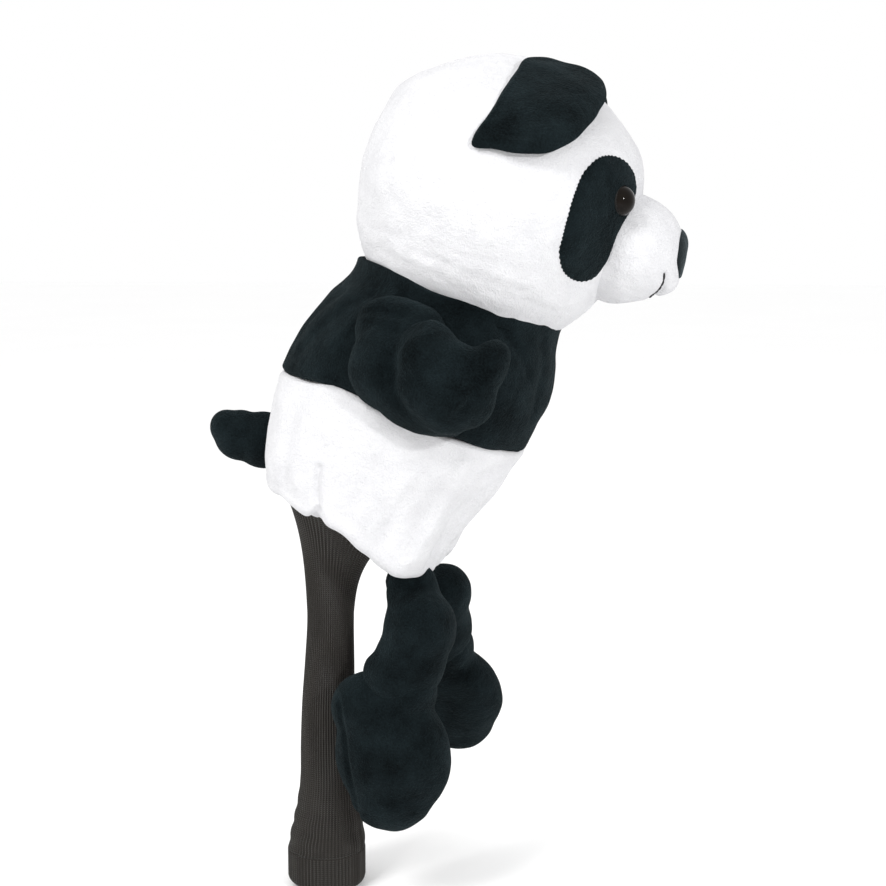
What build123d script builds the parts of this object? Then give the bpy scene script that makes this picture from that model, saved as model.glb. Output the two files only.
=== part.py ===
"""Plush panda driver head cover, as it sits on a club with the shaft upright.

Millimetres. The origin is the centre of the sock's mouth, on the shaft's axis. +Z runs up the
shaft, +X is the way the animal faces and +Y is its left. The torso and the head lean forward
along a club head's lie, so they are drawn in their own leaning frame: "fore" is measured forward
from the shaft, "side" to the animal's left and "up" along its back.
"""

import os
from math import cos, radians, sin, sqrt, tan

from build123d import *

# ---------------------------------------------------------------- driving dimensions

LEAN = 18.0  # degrees that the animal leans forward from the shaft
GAP = 0.3  # clearance between neighbouring soft layers
MOVE_GAP = 0.6  # clearance between pieces that move on each other

# sock
SOCK_BORE_R = 11.0
SOCK_WALL = 2.5
SOCK_STRAIGHT = 165.0  # height at which the tube starts to open out into the body
CUFF_HEIGHT = 22.0
CUFF_R = 20.5
CUFF_STEP = 1.0  # how far the cuff stands out from the tube above it
CUFF_ROUNDING = 3.0
BUNCH_R = 17.0  # where the tube gathers above the cuff
BUNCH_HEIGHT = 42.0
BUNCH_TOP = 78.0

# torso
NECK_UP, NECK_FORE, NECK_DEPTH, NECK_WIDTH = 342.0, -34.0, 54.5, 55.0
SHOULDER_UP, SHOULDER_FORE, SHOULDER_DEPTH, SHOULDER_WIDTH = 321.0, -38.5, 65.0, 60.0
CHEST_UP, CHEST_FORE, CHEST_DEPTH, CHEST_WIDTH = 300.0, -41.5, 70.0, 63.0
SEAM_UP, SEAM_FORE, SEAM_DEPTH, SEAM_WIDTH = 272.0, -46.0, 70.0, 63.0
BELLY_UP, BELLY_FORE, BELLY_DEPTH, BELLY_WIDTH = 240.0, -49.0, 63.0, 60.0
HEM_UP, HEM_FORE, HEM_DEPTH, HEM_WIDTH = 205.0, -46.0, 51.5, 53.0
NECK_DRAW = 2.0  # how far the bag is drawn in just above the neck
UNDER_DROP, UNDER_DRAW = 17.0, 16.5  # how far the bag tapers below the hem's middle
HEM_LEVEL = 194.5  # height of the hem's plane at the middle of the hem
HEM_TILT = 9.7  # degrees that the hem drops towards the front
PLUSH_T = 3.0
PADDING_T = 5.0
LINING_T = 1.0
BINDING_T = 3.0
MOUTH_FORE = -61.0  # centre of the opening that the sock is sewn to
MOUTH_DEPTH, MOUTH_WIDTH = 25.5, 21.5

# head
HEAD_R = 76.5
HEAD_NECK_R = 54.5
HEAD_FORE = -32.0
HEAD_SKIN = 2.5
GUSSET_HALF = 17.0

# snout, nose and mouth
SNOUT_DEPTH, SNOUT_WIDTH, SNOUT_HEIGHT = 33.0, 38.0, 28.5
SNOUT_ROUNDING = 21.0
SNOUT_BEDDING = 5.5  # depth of the snout's centre below the head's skin
SNOUT_DROP = 1.0
SNOUT_SKIN = 2.0
NOSE_DEPTH, NOSE_WIDTH, NOSE_HEIGHT = 3.5, 18.0, 12.0
NOSE_ROUNDING = 3.0
NOSE_RISE = 4.0
SMILE_R = 29.0
SMILE_RISE = 3.0
SMILE_HALF_ANGLE = 68.0
THREAD = 1.8

# eyes
EYE_TURN, EYE_RISE = 33.5, 20.0
EYE_R = 7.5
EYE_DOME = 5.0
EYE_RIM = 1.4
STEM_R = 2.0
STEM_LENGTH = 12.0
WASHER_R = 8.0
WASHER_T = 1.5
WASHER_ROOM = 1.0  # clearance in the stuffing round a washer
PATCH_TURN, PATCH_RISE = 40.0, 8.0
PATCH_WIDTH, PATCH_HEIGHT, PATCH_TILT = 21.5, 34.0, -12.0
PATCH_T = 1.6

# ears
EAR_TURN, EAR_RISE = 97.0, 52.0
EAR_ROOT = 66.0
EAR_REACH = 45.0
# the free edge's points: a share of the reach, then of the root's length
EAR_EDGE = ((0.55, 0.576), (1.0, 0.12), (0.68, -0.3))
EAR_T = 5.0
EAR_LIFT = 2.0
EAR_SLANT = -8.0  # degrees that the root turns about the ear's outward direction

# arms
ARM_FORE, ARM_UP = -37.0, 303.0
ARM_DEPTH, ARM_THICK, ARM_HEIGHT = 42.5, 30.0, 32.0
ARM_ROUNDING = 20.0
ARM_SIDE = 65.0
LIMB_SKIN = 2.0

# legs and feet
HIP_X, HIP_SPREAD = 52.0, 31.5
LEG_R = 17.5
LEG_LENGTH = 30.0
LEG_LEAN = 12.0  # degrees that the shank slopes back from hip to ankle
FOOT_LENGTH, FOOT_WIDTH, FOOT_DEPTH = 44.5, 17.5, 31.5
FOOT_ROUNDING = 13.0
FOOT_TILT = 8.0
FOOT_BACK, FOOT_DROP = 9.5, 42.0
SOLE_DEPTH = 10.0
ANKLE_SWING = 20.0
ANKLE_CUP = 0.3  # share of the shank's radius that the foot's cup stands above the ankle
LEFT_LEG_SWING, LEFT_FOOT_SWING, LEFT_LEG_SPLAY = 22.0, -10.0, 27.0

# tail
TAIL_X, TAIL_Z = -50.0, 257.0
TAIL_LENGTH, TAIL_WIDTH, TAIL_HEIGHT = 16.5, 11.5, 15.5
TAIL_ROUNDING = 10.0

# ---------------------------------------------------------------- frames

BACK = Vector(sin(radians(LEAN)), 0, cos(radians(LEAN)))
FORE = Vector(cos(radians(LEAN)), 0, -sin(radians(LEAN)))
animal = Plane(origin=(0, 0, 0), x_dir=FORE, z_dir=BACK)

HEAD_UP = NECK_UP + sqrt(HEAD_R**2 - HEAD_NECK_R**2)
SNOUT_FORE = HEAD_FORE + HEAD_R - SNOUT_BEDDING
SNOUT_UP = HEAD_UP - SNOUT_DROP
SOCK_R = SOCK_BORE_R + SOCK_WALL


def place(fore, side, up):
    """A location in the leaning frame."""
    return animal.location * Location((fore, side, up))


def hem_up(fore):
    """Height of the hem's plane under a point of the torso."""
    return HEM_LEVEL - (fore - HEM_FORE) * tan(radians(HEM_TILT))


def hem_plane(fore=HEM_FORE, raised=0.0):
    """The hem's plane, its normal up into the body."""
    tilt = radians(HEM_TILT)
    normal = BACK * cos(tilt) + FORE * sin(tilt)
    along = FORE * cos(tilt) - BACK * sin(tilt)
    origin = animal.from_local_coords(Vector(fore, 0, hem_up(fore)))
    return Plane(origin=origin + normal * raised, x_dir=along, z_dir=normal)


def head_plane(turn, rise):
    """A plane on the head's skin, turned from the face to its right: normal outwards."""
    radius = sqrt(HEAD_R**2 - rise**2)
    fore, side = radius * cos(radians(turn)), -radius * sin(radians(turn))
    outward = FORE * fore + Vector(0, side, 0) + BACK * rise
    to_face = FORE * sin(radians(turn)) + Vector(0, cos(radians(turn)), 0)
    origin = animal.from_local_coords(Vector(HEAD_FORE + fore, side, HEAD_UP + rise))
    return Plane(origin=origin, x_dir=to_face, z_dir=outward)


# ---------------------------------------------------------------- shared forms


def torso_form(inset, floor=0.0, top=0.0):
    """The torso's bag, drawn in by an inset, from the hem's plane up to the neck."""
    stations = (
        (NECK_UP + PLUSH_T, NECK_FORE, NECK_DEPTH - NECK_DRAW, NECK_WIDTH - NECK_DRAW),
        (SHOULDER_UP, SHOULDER_FORE, SHOULDER_DEPTH, SHOULDER_WIDTH),
        (CHEST_UP, CHEST_FORE, CHEST_DEPTH, CHEST_WIDTH),
        (SEAM_UP, SEAM_FORE, SEAM_DEPTH, SEAM_WIDTH),
        (BELLY_UP, BELLY_FORE, BELLY_DEPTH, BELLY_WIDTH),
        (HEM_UP, HEM_FORE, HEM_DEPTH, HEM_WIDTH),
        (
            HEM_LEVEL - UNDER_DROP,
            HEM_FORE,
            HEM_DEPTH - UNDER_DRAW,
            HEM_WIDTH - UNDER_DRAW,
        ),
    )
    with BuildPart() as bag:
        for up, fore, depth, width in stations:
            with BuildSketch(animal.offset(up)):
                with Locations((fore, 0)):
                    Ellipse(depth - inset, width - inset)
        loft()
        split(bisect_by=hem_plane(raised=floor), keep=Keep.TOP)
        split(bisect_by=animal.offset(NECK_UP - top), keep=Keep.BOTTOM)
    return bag.part


def head_form(grow):
    """The head's ball, grown by an amount and cut flat at the neck."""
    with BuildPart() as ball:
        with Locations(place(HEAD_FORE, 0, HEAD_UP)):
            Sphere(HEAD_R + grow)
        split(bisect_by=animal.offset(NECK_UP), keep=Keep.TOP)
    return ball.part


def pillow_form(plane, half_sizes, rounding, inset=0.0):
    """A rounded oval slab, its half sizes along the plane's x, y and normal, less an inset."""
    along, across, depth = (size - inset for size in half_sizes)
    tightest = min(along, across) ** 2 / max(along, across)
    rounding = min(rounding - inset, 0.95 * tightest, 0.95 * depth)
    with BuildPart() as pillow:
        with BuildSketch(plane):
            Ellipse(along, across)
        extrude(amount=depth, both=True)
        fillet(pillow.edges().filter_by(GeomType.LINE, reverse=True), rounding)
    return pillow.part


def export(piece, name):
    """Label a finished piece and write it as its own STEP file."""
    piece.label = name
    export_step(piece, f"parts/{name}.step")


os.makedirs("parts", exist_ok=True)

skin_form = torso_form(0)
plush_back = torso_form(PLUSH_T, floor=PLUSH_T)
padding_front = torso_form(PLUSH_T + GAP, floor=PLUSH_T + GAP, top=PLUSH_T + GAP)
padding_back = torso_form(
    PLUSH_T + PADDING_T, floor=PLUSH_T + PADDING_T, top=PLUSH_T + PADDING_T
)
lining_front = torso_form(
    PLUSH_T + PADDING_T + GAP, floor=PLUSH_T + PADDING_T + GAP, top=PLUSH_T + PADDING_T + GAP
)
pouch_depth = PLUSH_T + PADDING_T + GAP + LINING_T
mouth_reach = 2 * (BINDING_T + pouch_depth)
pouch_form = torso_form(pouch_depth, floor=pouch_depth, top=pouch_depth)
torso_keep_out = torso_form(-MOVE_GAP)

with BuildPart() as mouth_cut:
    with BuildSketch(hem_plane(MOUTH_FORE, -BINDING_T)):
        Ellipse(MOUTH_DEPTH, MOUTH_WIDTH)
    extrude(amount=mouth_reach)

# ---------------------------------------------------------------- torso

with BuildPart() as belly_panel:
    add(skin_form)
    add(plush_back, mode=Mode.SUBTRACT)
    add(mouth_cut.part, mode=Mode.SUBTRACT)
    split(bisect_by=animal.offset(SEAM_UP), keep=Keep.BOTTOM)
belly_panel.part.label = "belly_panel"
export_step(belly_panel.part, "parts/belly_panel.step")

with BuildPart() as chest_band:
    add(skin_form)
    add(plush_back, mode=Mode.SUBTRACT)
    split(bisect_by=animal.offset(SEAM_UP), keep=Keep.TOP)
chest_band.part.label = "chest_band"
export_step(chest_band.part, "parts/chest_band.step")

with BuildPart() as neck_divider:
    add(plush_back)
    split(bisect_by=animal.offset(NECK_UP - PLUSH_T), keep=Keep.TOP)
neck_divider.part.label = "neck_divider"
export_step(neck_divider.part, "parts/neck_divider.step")

with BuildPart() as body_padding:
    add(padding_front)
    add(padding_back, mode=Mode.SUBTRACT)
    add(mouth_cut.part, mode=Mode.SUBTRACT)
body_padding.part.label = "body_padding"
export_step(body_padding.part, "parts/body_padding.step")

with BuildPart() as lining_pouch:
    add(lining_front)
    add(pouch_form, mode=Mode.SUBTRACT)
    add(mouth_cut.part, mode=Mode.SUBTRACT)
lining_pouch.part.label = "lining_pouch"
export_step(lining_pouch.part, "parts/lining_pouch.step")

with BuildPart() as hem_binding:
    with BuildSketch(hem_plane(MOUTH_FORE, -BINDING_T)):
        Ellipse(MOUTH_DEPTH + PLUSH_T, MOUTH_WIDTH + PLUSH_T)
        Ellipse(MOUTH_DEPTH, MOUTH_WIDTH, mode=Mode.SUBTRACT)
    extrude(amount=BINDING_T)
hem_binding.part.label = "hem_binding"
export_step(hem_binding.part, "parts/hem_binding.step")

# ---------------------------------------------------------------- sock

with BuildPart() as knit_sock:
    with BuildSketch(Plane.XZ):
        with BuildLine():
            Polyline(
                (SOCK_BORE_R, CUFF_HEIGHT),
                (CUFF_R - CUFF_STEP, CUFF_HEIGHT),
                (BUNCH_R, BUNCH_HEIGHT),
                (SOCK_R, BUNCH_TOP),
                (SOCK_R, SOCK_STRAIGHT),
                (SOCK_BORE_R, SOCK_STRAIGHT),
                close=True,
            )
        make_face()
    revolve(axis=Axis.Z)
    with BuildSketch(Plane.XY.offset(SOCK_STRAIGHT)):
        Circle(SOCK_R)
    with BuildSketch(hem_plane(MOUTH_FORE, -BINDING_T)):
        Ellipse(MOUTH_DEPTH + SOCK_WALL, MOUTH_WIDTH + SOCK_WALL)
    loft()
    with BuildSketch(Plane.XY.offset(SOCK_STRAIGHT)):
        Circle(SOCK_BORE_R)
    with BuildSketch(hem_plane(MOUTH_FORE, -BINDING_T)):
        Ellipse(MOUTH_DEPTH, MOUTH_WIDTH)
    loft(mode=Mode.SUBTRACT)
knit_sock.part.label = "knit_sock"
export_step(knit_sock.part, "parts/knit_sock.step")

with BuildPart() as sock_cuff:
    Cylinder(CUFF_R, CUFF_HEIGHT, align=(Align.CENTER, Align.CENTER, Align.MIN))
    fillet(sock_cuff.edges().filter_by(GeomType.CIRCLE).group_by(Axis.Z)[0], CUFF_ROUNDING)
    Hole(SOCK_BORE_R)
sock_cuff.part.label = "sock_cuff"
export_step(sock_cuff.part, "parts/sock_cuff.step")

# ---------------------------------------------------------------- head

head_outer = head_form(0)
head_inner = head_form(-HEAD_SKIN)
head_fill = head_form(-HEAD_SKIN - GAP)
snout_origin = animal.from_local_coords(Vector(SNOUT_FORE, 0, SNOUT_UP))
snout_plane = Plane(origin=snout_origin, x_dir=(0, 1, 0), z_dir=FORE)
snout_size = (SNOUT_WIDTH, SNOUT_HEIGHT, SNOUT_DEPTH)
snout_outer = pillow_form(snout_plane, snout_size, SNOUT_ROUNDING)
snout_inner = pillow_form(snout_plane, snout_size, SNOUT_ROUNDING, SNOUT_SKIN)
snout_fill = pillow_form(snout_plane, snout_size, SNOUT_ROUNDING, SNOUT_SKIN + GAP)
eye_seat = head_plane(EYE_TURN, EYE_RISE)
left_eye_seat = head_plane(-EYE_TURN, EYE_RISE)
stem_hole_r = STEM_R + GAP
stem_reach = 2 * (STEM_LENGTH + GAP)

with BuildPart() as head_gusset:
    add(head_outer)
    add(head_inner, mode=Mode.SUBTRACT)
    split(bisect_by=Plane.XZ.offset(GUSSET_HALF), keep=Keep.BOTTOM)
    split(bisect_by=Plane.XZ.offset(-GUSSET_HALF), keep=Keep.TOP)
head_gusset.part.label = "head_gusset"
export_step(head_gusset.part, "parts/head_gusset.step")

with BuildPart() as right_head_panel:
    add(head_outer)
    add(head_inner, mode=Mode.SUBTRACT)
    split(bisect_by=Plane.XZ.offset(GUSSET_HALF), keep=Keep.TOP)
    with Locations(eye_seat.location):
        Cylinder(stem_hole_r, stem_reach, mode=Mode.SUBTRACT)

with BuildPart() as head_stuffing:
    add(head_fill)
    with Locations(eye_seat.location, left_eye_seat.location):
        Cylinder(WASHER_R + WASHER_ROOM, stem_reach, mode=Mode.SUBTRACT)
head_stuffing.part.label = "head_stuffing"
export_step(head_stuffing.part, "parts/head_stuffing.step")

with BuildPart() as snout_cover:
    add(snout_outer)
    add(snout_inner, mode=Mode.SUBTRACT)
    add(head_outer, mode=Mode.SUBTRACT)
snout_cover.part.label = "snout_cover"
export_step(snout_cover.part, "parts/snout_cover.step")

head_grown = head_form(GAP)
with BuildPart() as snout_stuffing:
    add(snout_fill)
    add(head_grown, mode=Mode.SUBTRACT)
snout_stuffing.part.label = "snout_stuffing"
export_step(snout_stuffing.part, "parts/snout_stuffing.step")

nose_origin = animal.from_local_coords(
    Vector(SNOUT_FORE + SNOUT_DEPTH - NOSE_DEPTH / 3, 0, SNOUT_UP + NOSE_RISE)
)
nose_plane = Plane(origin=nose_origin, x_dir=(0, 1, 0), z_dir=FORE)
nose_form = pillow_form(nose_plane, (NOSE_WIDTH, NOSE_HEIGHT, NOSE_DEPTH), NOSE_ROUNDING)
with BuildPart() as nose:
    add(nose_form)
    add(snout_outer, mode=Mode.SUBTRACT)
nose.part.label = "nose"
export_step(nose.part, "parts/nose.step")

thread_form = pillow_form(snout_plane, snout_size, SNOUT_ROUNDING, -THREAD / 2)
smile_plane = Plane(
    origin=animal.from_local_coords(Vector(SNOUT_FORE, 0, SNOUT_UP + SMILE_RISE)),
    x_dir=(0, 1, 0),
    z_dir=FORE,
)
with BuildPart() as mouth_stitching:
    with BuildSketch(smile_plane):
        with BuildLine():
            CenterArc((0, 0), SMILE_R, -90 - SMILE_HALF_ANGLE, 2 * SMILE_HALF_ANGLE)
            offset(amount=THREAD / 2)
        make_face()
    extrude(amount=SNOUT_DEPTH)
    add(thread_form, mode=Mode.INTERSECT)
    add(snout_outer, mode=Mode.SUBTRACT)
mouth_stitching.part.label = "mouth_stitching"
export_step(mouth_stitching.part, "parts/mouth_stitching.step")

# ---------------------------------------------------------------- eyes

patch_outer = head_form(PATCH_T)
patch_plane = head_plane(PATCH_TURN, PATCH_RISE)

with BuildPart() as right_eye_patch:
    with BuildSketch(patch_plane):
        Ellipse(PATCH_WIDTH, PATCH_HEIGHT, rotation=PATCH_TILT)
    extrude(amount=PATCH_WIDTH, both=True)
    add(patch_outer, mode=Mode.INTERSECT)
    add(head_outer, mode=Mode.SUBTRACT)
    add(snout_outer, mode=Mode.SUBTRACT)
    with Locations(eye_seat.location):
        Cylinder(stem_hole_r, stem_reach, mode=Mode.SUBTRACT)

eye_base_level = PATCH_T + EYE_R**2 / (2 * HEAD_R) + GAP
with BuildPart() as right_eye_base:
    with BuildSketch(eye_seat.offset(eye_base_level)):
        Circle(EYE_R)
    extrude(amount=EYE_RIM)
    with BuildSketch(eye_seat.offset(eye_base_level)):
        Circle(STEM_R)
    extrude(amount=-STEM_LENGTH)

with BuildPart() as right_eye_lens:
    with BuildSketch(eye_seat.offset(eye_base_level + EYE_RIM)):
        Circle(EYE_R)
    extrude(amount=EYE_DOME)
    dome_r = (EYE_R**2 + EYE_DOME**2) / (2 * EYE_DOME)
    with Locations(eye_seat.offset(eye_base_level + EYE_RIM + EYE_DOME - dome_r).location):
        Sphere(dome_r, mode=Mode.INTERSECT)

washer_level = -HEAD_SKIN - WASHER_R**2 / (2 * HEAD_R) - GAP
with BuildPart() as right_eye_washer:
    with BuildSketch(eye_seat.offset(washer_level)):
        Circle(WASHER_R)
        Circle(STEM_R, mode=Mode.SUBTRACT)
    extrude(amount=-WASHER_T)

# ---------------------------------------------------------------- ears

ear_outer = head_form(EAR_LIFT + EAR_T)
ear_inner = head_form(EAR_LIFT)
ear_plane = head_plane(EAR_TURN, EAR_RISE).rotated((0, 0, EAR_SLANT))

with BuildPart() as right_ear:
    with BuildSketch(ear_plane):
        with BuildLine():
            root = Line((0, -EAR_ROOT / 2), (0, EAR_ROOT / 2))
            free_edge = [(out * EAR_REACH, along * EAR_ROOT) for out, along in EAR_EDGE]
            Spline(root @ 1, *free_edge, root @ 0)
        make_face()
    extrude(amount=EAR_REACH, both=True)
    add(ear_outer, mode=Mode.INTERSECT)
    add(ear_inner, mode=Mode.SUBTRACT)

# ---------------------------------------------------------------- arms

arm_origin = animal.from_local_coords(Vector(ARM_FORE, -ARM_SIDE, ARM_UP))
arm_plane = Plane(origin=arm_origin, x_dir=FORE, z_dir=(0, -1, 0))
arm_size = (ARM_DEPTH, ARM_HEIGHT, ARM_THICK)
arm_outer = pillow_form(arm_plane, arm_size, ARM_ROUNDING)
arm_inner = pillow_form(arm_plane, arm_size, ARM_ROUNDING, LIMB_SKIN)
arm_fill = pillow_form(arm_plane, arm_size, ARM_ROUNDING, LIMB_SKIN + GAP)
arm_back = torso_form(-MOVE_GAP - LIMB_SKIN)
arm_fill_back = torso_form(-MOVE_GAP - LIMB_SKIN - GAP)

with BuildPart() as arm_hollow:
    add(arm_inner)
    add(arm_back, mode=Mode.SUBTRACT)

with BuildPart() as right_arm_cover:
    add(arm_outer)
    add(torso_keep_out, mode=Mode.SUBTRACT)
    add(arm_hollow.part, mode=Mode.SUBTRACT)

with BuildPart() as right_arm_stuffing:
    add(arm_fill)
    add(arm_fill_back, mode=Mode.SUBTRACT)

# ---------------------------------------------------------------- legs and feet

hem = hem_plane()
hem_z = hem.origin.Z - (HIP_X - hem.origin.X) * hem.z_dir.X / hem.z_dir.Z
hip = Vector(HIP_X, -HIP_SPREAD, hem_z - (LEG_R + MOVE_GAP) / hem.z_dir.Z)
shank = Vector(-sin(radians(LEG_LEAN)), 0, -cos(radians(LEG_LEAN)))
ankle = hip + shank * LEG_LENGTH
leg_plane = Plane(origin=hip, x_dir=(0, 1, 0), z_dir=shank)
foot_centre = ankle + Vector(-FOOT_BACK, 0, -FOOT_DROP)
foot_plane = Plane(
    origin=foot_centre,
    x_dir=(cos(radians(FOOT_TILT)), 0, sin(radians(FOOT_TILT))),
    z_dir=(0, -1, 0),
)
foot_size = (FOOT_DEPTH, FOOT_LENGTH, FOOT_WIDTH)


def leg_form(inset):
    """The shank: a rounded tube from the hip's centre to the ankle's."""
    with BuildPart() as shape:
        with BuildSketch(leg_plane):
            Circle(LEG_R - inset)
        extrude(amount=LEG_LENGTH)
        with Locations(hip, ankle):
            Sphere(LEG_R - inset)
    return shape.part


def foot_form(inset):
    """The hanging foot, hollowed at the top to take the shank's rounded end."""
    half_gap = LEG_R + MOVE_GAP + inset
    spread = 2 * LEG_R * tan(radians(ANKLE_SWING))
    cup = ANKLE_CUP * LEG_R
    pillow = pillow_form(foot_plane, foot_size, FOOT_ROUNDING, inset)
    with BuildPart() as shape:
        add(pillow)
        with Locations(ankle):
            Sphere(half_gap, mode=Mode.SUBTRACT)
        with BuildSketch(Plane(origin=ankle, x_dir=(1, 0, 0), z_dir=(0, -1, 0))):
            with BuildLine():
                Polyline(
                    (-half_gap, -cup),
                    (half_gap, -cup),
                    (half_gap + spread, 2 * LEG_R),
                    (-half_gap - spread, 2 * LEG_R),
                    close=True,
                )
            make_face()
        extrude(amount=2 * FOOT_WIDTH, both=True, mode=Mode.SUBTRACT)
    return shape.part


leg_inner, leg_fill = leg_form(LIMB_SKIN), leg_form(LIMB_SKIN + GAP)
foot_outer, foot_inner = foot_form(0), foot_form(LIMB_SKIN)
foot_fill = foot_form(LIMB_SKIN + GAP)
leg_outer = leg_form(0)
sole_plane = Plane(origin=foot_centre, z_dir=foot_plane.x_dir).offset(SOLE_DEPTH - FOOT_DEPTH)

with BuildPart() as right_leg_cover:
    add(leg_outer)
    add(leg_inner, mode=Mode.SUBTRACT)

with BuildPart() as right_leg_stuffing:
    add(leg_fill)

with BuildPart() as right_foot_cover:
    add(foot_outer)
    add(foot_inner, mode=Mode.SUBTRACT)
    split(bisect_by=sole_plane, keep=Keep.TOP)

with BuildPart() as right_foot_sole:
    add(foot_outer)
    add(foot_inner, mode=Mode.SUBTRACT)
    split(bisect_by=sole_plane, keep=Keep.BOTTOM)

with BuildPart() as right_foot_stuffing:
    add(foot_fill)

# ---------------------------------------------------------------- tail

tail_plane = Plane(origin=(TAIL_X, 0, TAIL_Z), x_dir=(1, 0, 0), z_dir=(0, -1, 0))
tail_size = (TAIL_LENGTH, TAIL_HEIGHT, TAIL_WIDTH)
tail_outer = pillow_form(tail_plane, tail_size, TAIL_ROUNDING)
tail_inner = pillow_form(tail_plane, tail_size, TAIL_ROUNDING, LIMB_SKIN)
tail_fill = pillow_form(tail_plane, tail_size, TAIL_ROUNDING, LIMB_SKIN + GAP)

with BuildPart() as tail_cover:
    add(tail_outer)
    add(tail_inner, mode=Mode.SUBTRACT)
tail_cover.part.label = "tail_cover"
export_step(tail_cover.part, "parts/tail_cover.step")

with BuildPart() as tail_stuffing:
    add(tail_fill)
tail_stuffing.part.label = "tail_stuffing"
export_step(tail_stuffing.part, "parts/tail_stuffing.step")

# ---------------------------------------------------------------- right and left pieces

fixed_pairs = {
    "head_panel": right_head_panel,
    "eye_patch": right_eye_patch,
    "eye_base": right_eye_base,
    "eye_lens": right_eye_lens,
    "eye_washer": right_eye_washer,
    "ear": right_ear,
    "arm_cover": right_arm_cover,
    "arm_stuffing": right_arm_stuffing,
}
leg_pairs = {"leg_cover": right_leg_cover, "leg_stuffing": right_leg_stuffing}
foot_pairs = {
    "foot_cover": right_foot_cover,
    "foot_sole": right_foot_sole,
    "foot_stuffing": right_foot_stuffing,
}
hip_axis = Axis(hip, (0, -1, 0))
splay_axis = Axis(hip, (-1, 0, 0))
ankle_axis = Axis(ankle, (0, -1, 0))

for name, built in {**fixed_pairs, **leg_pairs, **foot_pairs}.items():
    export(built.part, f"right_{name}")
    piece = built.part
    if name in foot_pairs:
        piece = piece.rotate(ankle_axis, LEFT_FOOT_SWING)
    if name in leg_pairs or name in foot_pairs:
        piece = piece.rotate(hip_axis, LEFT_LEG_SWING).rotate(splay_axis, LEFT_LEG_SPLAY)
    with BuildPart() as left_piece:
        mirror(piece, about=Plane.XZ)
    export(left_piece.part, f"left_{name}")
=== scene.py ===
# %% [markdown]
# # A plush panda head cover
# A driver head cover is a soft toy sewn round a pouch, with a long knitted sock under it. The
# club's head sits in the pouch and the sock grips its shaft. The solid model already fixes
# where everything is and how it moves, so this lesson starts by loading it as a frame. Each
# part is then sculpted again as the cloth, stuffing or knitting that it really is.

# %% Load the frame
from math import atan2, cos, degrees, hypot, pi, radians, sin, sqrt

import bmesh
import bpy
import numpy as np
from mathutils import Matrix, Vector, noise
from mathutils.bvhtree import BVHTree


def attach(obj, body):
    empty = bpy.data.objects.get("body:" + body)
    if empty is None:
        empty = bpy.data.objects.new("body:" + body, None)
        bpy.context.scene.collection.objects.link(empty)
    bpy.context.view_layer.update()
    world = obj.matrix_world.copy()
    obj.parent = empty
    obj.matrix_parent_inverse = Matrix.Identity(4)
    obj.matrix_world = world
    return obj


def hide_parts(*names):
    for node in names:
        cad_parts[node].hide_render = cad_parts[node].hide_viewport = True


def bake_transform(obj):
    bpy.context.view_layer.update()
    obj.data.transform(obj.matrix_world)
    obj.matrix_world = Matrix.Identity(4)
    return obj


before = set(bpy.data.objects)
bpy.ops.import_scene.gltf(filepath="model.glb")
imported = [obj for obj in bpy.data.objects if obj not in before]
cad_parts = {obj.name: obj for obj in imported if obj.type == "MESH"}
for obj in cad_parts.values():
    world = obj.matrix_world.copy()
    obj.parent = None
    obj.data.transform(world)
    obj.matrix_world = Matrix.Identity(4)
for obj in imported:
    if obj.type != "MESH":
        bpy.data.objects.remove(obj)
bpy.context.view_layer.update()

# %% [markdown]
# ## Two sets of axes
# The club stands upright, but the animal leans forward on it, along the slope of the club's
# head. Sculpting is easier in the animal's own axes: forward, to its left, and up along its
# back, in millimetres. A single matrix brings each finished draft into the frame's metres. The
# sock and the legs hang straight down, so they are drawn upright.

# %% Axes and units
MM = 0.001
LEAN = radians(18)
UPRIGHT = Matrix.Scale(MM, 4)
LEANING = UPRIGHT @ Matrix.Rotation(LEAN, 4, "Y")
FORE, SIDE, UP = Vector((1, 0, 0)), Vector((0, 1, 0)), Vector((0, 0, 1))
print("forward in the frame:", [round(x, 3) for x in LEANING.to_3x3() @ FORE / MM])

# %% [markdown]
# ## Sculpting helpers
# A soft toy has no flat faces, so its parts are not drawn from edges. Each starts as a ball or
# a tube with an even skin of small faces, and then its points are moved: pressed in along a
# seam, swelled where the stuffing is full, rumpled a little all over. Working on all the points
# at once as one table keeps those moves short and quick.


# %% Move the points of a draft
def points_of(draft):
    return np.array([v.co for v in draft.verts])


def move_to(draft, points):
    for vertex, point in zip(draft.verts, points):
        vertex.co = point
    draft.normal_update()


def bell(distance, width):
    """A smooth bump: 1 at no distance, nearly 0 at twice the width."""
    return np.exp(-((distance / width) ** 2))


def ramp(value, start, end):
    """0 before start, 1 after end, and a smooth rise between."""
    share = np.clip((value - start) / (end - start), 0, 1)
    return share * share * (3 - 2 * share)


def distance_to(points, path):
    """How far each point is from a path of straight legs."""
    nearest = np.full(len(points), np.inf)
    path = np.array(path, float)
    for a, b in zip(path, path[1:]):
        leg = b - a
        share = np.clip((points - a) @ leg / (leg @ leg), 0, 1)
        nearest = np.minimum(nearest, np.linalg.norm(points - a - share[:, None] * leg, axis=1))
    return nearest


def press(draft, path, depth, width):
    """Press the skin in along a path; a negative depth raises a ridge."""
    points = points_of(draft)
    inward = -np.array([v.normal for v in draft.verts])
    share = bell(distance_to(points, path), width)
    move_to(draft, points + inward * (depth * share)[:, None])


def rumple(draft, size, height, seed, below=None):
    """Uneven stuffing: smooth noise with lumps of one size, fading out towards a level."""
    drift = Vector((seed, 2 * seed, 3 * seed))
    for vertex in draft.verts:
        lump = height * noise.noise(vertex.co / size + drift)
        if below is not None:
            lump *= float(ramp(below - vertex.co.z, 0, 14))
        vertex.co += vertex.normal * lump
    draft.normal_update()


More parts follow.
